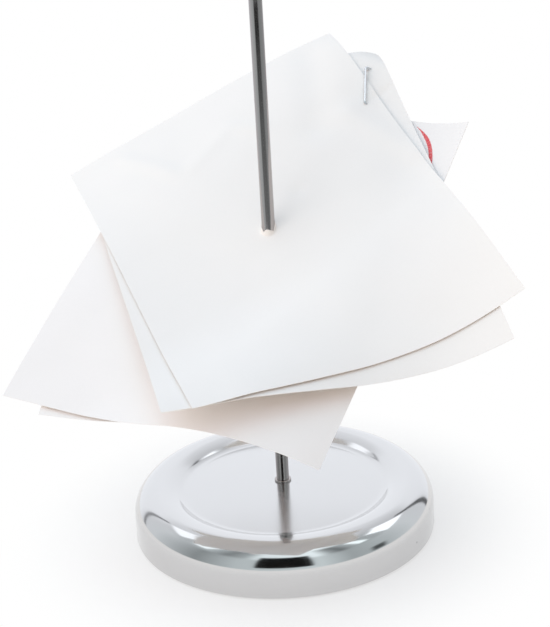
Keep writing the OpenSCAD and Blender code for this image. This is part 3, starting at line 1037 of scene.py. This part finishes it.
# Soft light on the pieces: warm low down, cool above the rise, and stronger on one side
LIGHT_SIDE = -80
SOFT_RISE = (15, 50)
LOW_LIGHT = (0.7, 0.57, 0.45)
HIGH_LIGHT = (0.87, 0.92, 1.05)
LOW_SWING = 0.46
HIGH_SWING = 0.3
ROOF_LIGHT = (1.02, 1.45, 1.61)
BELOW_LIGHT = (0.95, 0.92, 0.85)

# Panels and gaps of the tent: middle, half sizes and soft edge in degrees, lean from the upright, and light
TentPanel = namedtuple("TentPanel", "azimuth elevation half_width half_height soft lean level")
PANELS = (
    # Bright panels high on the walls
    TentPanel(-124, 48, 15, 6, 3, 0, 1.4),
    TentPanel(-84, 52, 8, 8, 5, 0, 1.4),
    TentPanel(71, 51, 5.5, 8, 4, 0, 1.45),
    TentPanel(111, 47, 15, 9, 3, 0, 1.6),
    # Dark gaps at the sides
    TentPanel(70, 6, 6, 7, 6, 0, 0.1),
    TentPanel(-134, 18, 2.2, 22, 2, -0.32, 0.3),
    TentPanel(131.5, 18, 2.8, 26, 2, 0, 0.12),
    # The opening where the camera stands, and the shade under the sheet's front edge
    TentPanel(-2.8, 27, 21.3, 21.5, 3, 0, 0.005),
    TentPanel(0, -11, 31, 4, 2, 0, 0.02),
)

# The fill lamp's direction from the aim in degrees, its distance and size in metres, and its colour
LAMP_AZIMUTH = -52
LAMP_ELEVATION = 28
LAMP_DISTANCE = 0.6
LAMP_SIZE = 0.4
LAMP_COLOUR = (1.0, 0.95, 0.9)
# The floor's sheet in metres, where it runs out to white, and how far it is lifted to white at the base
FLOOR_R = 0.14
FLOOR_SEGMENTS = 128
SHADOW_FROM = 0.04
SHADOW_TO = 0.072
SHADOW_LIFT = 0.57
# The camera's sensor in millimetres, and the nearest distance that it shows in metres
SENSOR_WIDTH = 36
NEAREST = 0.01


def ramp(tree, value, stops):
    """Light by azimuth, from 0 at the back, by the left, front and right, to 1 at the back again."""
    node = put(tree, "ShaderNodeValToRGB", {0: value})
    elements = node.color_ramp.elements
    while len(elements) < len(stops):
        elements.new(0.5)
    for element, stop in zip(elements, stops):
        element.position = stop.azimuth / 360 + 0.5
        element.color = rgba(WHITE, stop.level)
    return node.outputs[0]


def panel_share(tree, azimuth, elevation, panel):
    """How much of a direction lies on a panel, from 0 to 1."""
    share = 1.0
    climb = calc(tree, "SUBTRACT", elevation, radians(panel.elevation))
    across = calc(tree, "SUBTRACT", azimuth, calc(tree, "MULTIPLY", climb, panel.lean))
    sides = ((across, panel.azimuth, panel.half_width), (elevation, panel.elevation, panel.half_height))
    for angle, middle, half in sides:
        off = calc(tree, "ABSOLUTE", calc(tree, "SUBTRACT", angle, radians(middle)))
        inner, outer = radians(half - panel.soft / 2), radians(half + panel.soft / 2)
        share = calc(tree, "MULTIPLY", share, spread(tree, off, outer, inner, kind="SMOOTHSTEP"))
    return share


def climbed(tree, elevation, band):
    """How far a direction has climbed through a band of elevations, from 0 to 1."""
    return spread(tree, elevation, radians(band[0]), radians(band[1]), kind="SMOOTHSTEP")


def tent_light(tree, azimuth, elevation):
    """The tent that the metal shows: pale walls and roof, panels, and an opening where the camera stands."""
    turn = calc(tree, "ADD", calc(tree, "DIVIDE", azimuth, tau), 0.5)
    low, high, below = (ramp(tree, turn, stops) for stops in (LOW_WALL, HIGH_WALL, BELOW))
    room = blend_colour(tree, climbed(tree, elevation, WALL_SEAM), low, high)
    room = blend_colour(tree, climbed(tree, elevation, ROOF_EDGE), room, rgba(WHITE, ROOF))
    room = blend_colour(tree, climbed(tree, elevation, SHEET_EDGE), below, room)
    for panel in PANELS:
        share = panel_share(tree, azimuth, elevation, panel)
        room = blend_colour(tree, share, room, rgba(WHITE, panel.level))
    front, back = (radians(angle) for angle in TINT_TURN)
    share = spread(tree, calc(tree, "ABSOLUTE", azimuth), front, back)
    tint = blend_colour(tree, share, rgba(FRONT_TINT), rgba(BACK_TINT))
    return blend_colour(tree, 1.0, room, tint, "MULTIPLY")


def soft_light(tree, azimuth, elevation):
    """Plain soft light on the pieces: warm low down, cool higher up, and stronger on one side."""
    climb = climbed(tree, elevation, SOFT_RISE)
    side = calc(tree, "COSINE", calc(tree, "SUBTRACT", azimuth, radians(LIGHT_SIDE)))
    swing = calc(tree, "MULTIPLY", side, spread(tree, climb, 0, 1, LOW_SWING, HIGH_SWING))
    soft = blend_colour(tree, climb, rgba(LOW_LIGHT), rgba(HIGH_LIGHT))
    soft = blend_colour(tree, 1.0, soft, swing, "ADD")
    soft = blend_colour(tree, climbed(tree, elevation, ROOF_EDGE), soft, rgba(ROOF_LIGHT))
    return blend_colour(tree, climbed(tree, elevation, SHEET_EDGE), rgba(BELOW_LIGHT), soft)


def studio_world(stage):
    """White for the camera, the tent for what the metal mirrors, and soft light for all the rest."""
    world = bpy.data.worlds.new("Studio")
    world.use_nodes = True
    tree = world.node_tree
    tree.nodes.clear()
    way = put(tree, "ShaderNodeTexCoord").outputs["Generated"]
    x, y, z = put(tree, "ShaderNodeSeparateXYZ", {0: way}).outputs
    azimuth = calc(tree, "ARCTAN2", x, calc(tree, "MULTIPLY", y, -1))
    elevation = calc(tree, "ARCSINE", z)
    looks = (
        (soft_light(tree, azimuth, elevation), stage.soft_level),
        (tent_light(tree, azimuth, elevation), stage.light_level),
        (rgba(WHITE), 1),
    )
    soft, tent, white = (put(tree, "ShaderNodeBackground", {"Color": colour, "Strength": level}).outputs[0]
                         for colour, level in looks)
    path = put(tree, "ShaderNodeLightPath").outputs
    mixed = put(tree, "ShaderNodeMixShader", {0: path["Is Glossy Ray"], 1: soft, 2: tent}).outputs[0]
    mixed = put(tree, "ShaderNodeMixShader", {0: path["Is Camera Ray"], 1: mixed, 2: white}).outputs[0]
    put(tree, "ShaderNodeOutputWorld", {"Surface": mixed})
    bpy.context.scene.world = world


def floor_material(stage):
    """White sheet that keeps the shadow near the base and runs out to plain white."""
    material, tree, shader, place = new_material("floor sheet")
    colour = two_tone(tree, grain(tree, place, 60, 2), stage.floor_colour, 0.99, 1.01)
    tree.links.new(colour, shader.inputs["Base Color"])
    shader.inputs["Roughness"].default_value = 0.9
    shader.inputs["Specular IOR Level"].default_value = 0.1
    away = put(tree, "ShaderNodeVectorMath", {0: place}, operation="LENGTH").outputs["Value"]
    far = spread(tree, away, SHADOW_FROM, SHADOW_TO, SHADOW_LIFT, 1, kind="SMOOTHSTEP")
    path = put(tree, "ShaderNodeLightPath").outputs
    seen = calc(tree, "MAXIMUM", path["Is Camera Ray"], path["Is Glossy Ray"])
    white = put(tree, "ShaderNodeEmission", {"Color": rgba(WHITE), "Strength": 1})
    share = calc(tree, "MULTIPLY", seen, far)
    mixed = put(tree, "ShaderNodeMixShader", {0: share, 1: shader.outputs[0], 2: white.outputs[0]})
    tree.links.new(mixed.outputs[0], tree.nodes["Material Output"].inputs["Surface"])
    return material


def make_floor(stage):
    """The round sheet that the base stands on."""
    work = bmesh.new()
    bmesh.ops.create_circle(work, cap_ends=True, segments=FLOOR_SEGMENTS, radius=FLOOR_R)
    mesh = bpy.data.meshes.new("floor_sheet")
    work.to_mesh(mesh)
    work.free()
    floor = add_object("floor_sheet", mesh)
    mesh.materials.append(floor_material(stage))


def make_lamp(stage):
    """A soft lamp that fills the shade under the slips from the left."""
    light = bpy.data.lights.new("fill_lamp", "AREA")
    light.size = LAMP_SIZE
    light.energy = stage.fill_power
    light.color = LAMP_COLOUR
    lamp = add_object("fill_lamp", light)
    turn, rise = radians(LAMP_AZIMUTH), radians(LAMP_ELEVATION)
    way = Vector((sin(turn) * cos(rise), -cos(turn) * cos(rise), sin(rise)))
    lamp.location = way * LAMP_DISTANCE + Vector(stage.aim)
    lamp.rotation_mode = "QUATERNION"
    lamp.rotation_quaternion = (-way).to_track_quat("-Z", "Y")
    lamp.visible_glossy = False


def make_camera(stage):
    """Camera at the photograph's angle."""
    lens = bpy.data.cameras.new("Camera")
    lens.sensor_width = SENSOR_WIDTH
    lens.lens = SENSOR_WIDTH * stage.focal_pixels / IMAGE_HEIGHT
    lens.clip_start = NEAREST
    camera = add_object("Camera", lens)
    back = Vector((0, -cos(stage.elevation), sin(stage.elevation)))
    camera.location = back * stage.distance
    view = Vector(stage.aim) - camera.location
    camera.rotation_mode = "QUATERNION"
    camera.rotation_quaternion = view.to_track_quat("-Z", "Y") @ Quaternion((0, 0, 1), stage.roll)
    bpy.context.scene.camera = camera


# Operators

class RECEIPT_SPIKE_OT_stage(Operator):
    """Makes the camera, the floor and the studio's light"""

    bl_idname = "receipt_spike.stage"
    bl_label = "Stage"

    def execute(self, context):
        stage = settings().stage
        context.scene.view_settings.view_transform = "Standard"
        make_camera(stage)
        make_floor(stage)
        make_lamp(stage)
        studio_world(stage)
        return {"FINISHED"}


class RECEIPT_SPIKE_OT_base_shell(Operator):
    """Turns the plated base from its section"""

    bl_idname = "receipt_spike.base_shell"
    bl_label = "Base shell"

    def execute(self, context):
        base = settings().base
        values = {"Segments": base.segments, "Thread Pitch": 1.0, "Crease": radians(SHELL_CREASE),
                  "Material": chrome_material(base)}
        piece = grow("base_shell_chrome", in_half_plane(shell_profile()), [], lathe_tree(), values)
        stand_for(piece, "base_shell", "stand")
        return {"FINISHED"}


class RECEIPT_SPIKE_OT_spike_rod(Operator):
    """Turns the rod, its collar, its point and its threaded tail"""

    bl_idname = "receipt_spike.spike_rod"
    bl_label = "Spike rod"

    def execute(self, context):
        rod = settings().rod
        line, depths = rod_profile(rod.thread_pitch)
        values = {"Segments": rod.segments, "Thread Pitch": rod.thread_pitch,
                  "Crease": radians(ROD_CREASE), "Material": rod_material(rod)}
        piece = grow("spike_rod_polished", in_half_plane(line), [], lathe_tree(), values, depths)
        stand_for(piece, "spike_rod", "stand")
        return {"FINISHED"}


class RECEIPT_SPIKE_OT_inside(Operator):
    """Finishes the weight, the fasteners, the closing plate and the foam pad"""

    bl_idname = "receipt_spike.inside"
    bl_label = "Inside and underside"

    def execute(self, context):
        zinc = zinc_material()
        finishes = {
            "ballast_weight": cast_material(), "plain_washer": zinc, "spring_washer": zinc, "hex_nut": zinc,
            "base_plate": plate_material(), "foot_pad": foam_material(),
        }
        for node, material in finishes.items():
            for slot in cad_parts[node].material_slots:
                slot.material = material
        return {"FINISHED"}


class RECEIPT_SPIKE_OT_slips(Operator):
    """Makes the four till slips"""

    bl_idname = "receipt_spike.slips"
    bl_label = "Till slips"

    def execute(self, context):
        paper = settings().paper
        upper = paper_material("upper paper", paper.upper_colour)
        lower = paper_material("lower paper", paper.lower_colour)
        marked = paper_material("marked paper", paper.lower_colour, paper)
        for slip in SLIPS:
            plain = upper if slip.upper else lower
            make_slip(slip, paper, marked if slip is PEN_SLIP else plain)
        return {"FINISHED"}


class RECEIPT_SPIKE_OT_staple(Operator):
    """Bends the staple through the two upper slips"""

    bl_idname = "receipt_spike.staple"
    bl_label = "Staple"

    def execute(self, context):
        staple = settings().staple
        path = staple_path(settings().paper)
        values = {"Bend Radius": staple.bend_radius, "Width": WIRE_W * MM, "Thickness": WIRE_T * MM,
                  "Edge Radius": WIRE_ROUND * MM, "Crease": radians(WIRE_CREASE),
                  "Material": wire_material(staple)}
        edges = [(n, n + 1) for n in range(len(path) - 1)]
        piece = grow("staple_bent", path, edges, wire_tree(), values)
        stand_for(piece, "staple", "stapled_slips")
        return {"FINISHED"}


STEPS = (
    RECEIPT_SPIKE_OT_stage, RECEIPT_SPIKE_OT_base_shell, RECEIPT_SPIKE_OT_spike_rod,
    RECEIPT_SPIKE_OT_inside, RECEIPT_SPIKE_OT_slips, RECEIPT_SPIKE_OT_staple,
)


class RECEIPT_SPIKE_PT_panel(Panel):
    """Lists the pieces and their settings"""

    bl_label = "Receipt spike"
    bl_space_type = "VIEW_3D"
    bl_region_type = "UI"
    bl_category = "Spike"

    def draw(self, context):
        for step in STEPS:
            self.layout.operator(step.bl_idname)
        for name in ("base", "rod", "paper", "staple", "stage"):
            group = getattr(context.scene.receipt_spike, name)
            box = self.layout.box()
            box.label(text=name.title())
            for key in group.__annotations__:
                box.prop(group, key)


CLASSES = (
    BaseSettings, RodSettings, PaperSettings, StapleSettings, StageSettings, SpikeSettings,
    *STEPS, RECEIPT_SPIKE_PT_panel,
)


def register():
    for item in CLASSES:
        bpy.utils.register_class(item)
    bpy.types.Scene.receipt_spike = PointerProperty(type=SpikeSettings)


def unregister():
    del bpy.types.Scene.receipt_spike
    for item in reversed(CLASSES):
        bpy.utils.unregister_class(item)


def main():
    """Builds everything in order."""
    register()
    for step in STEPS:
        getattr(bpy.ops.receipt_spike, step.bl_idname.split(".")[1])()


if __name__ == "__main__":
    main()
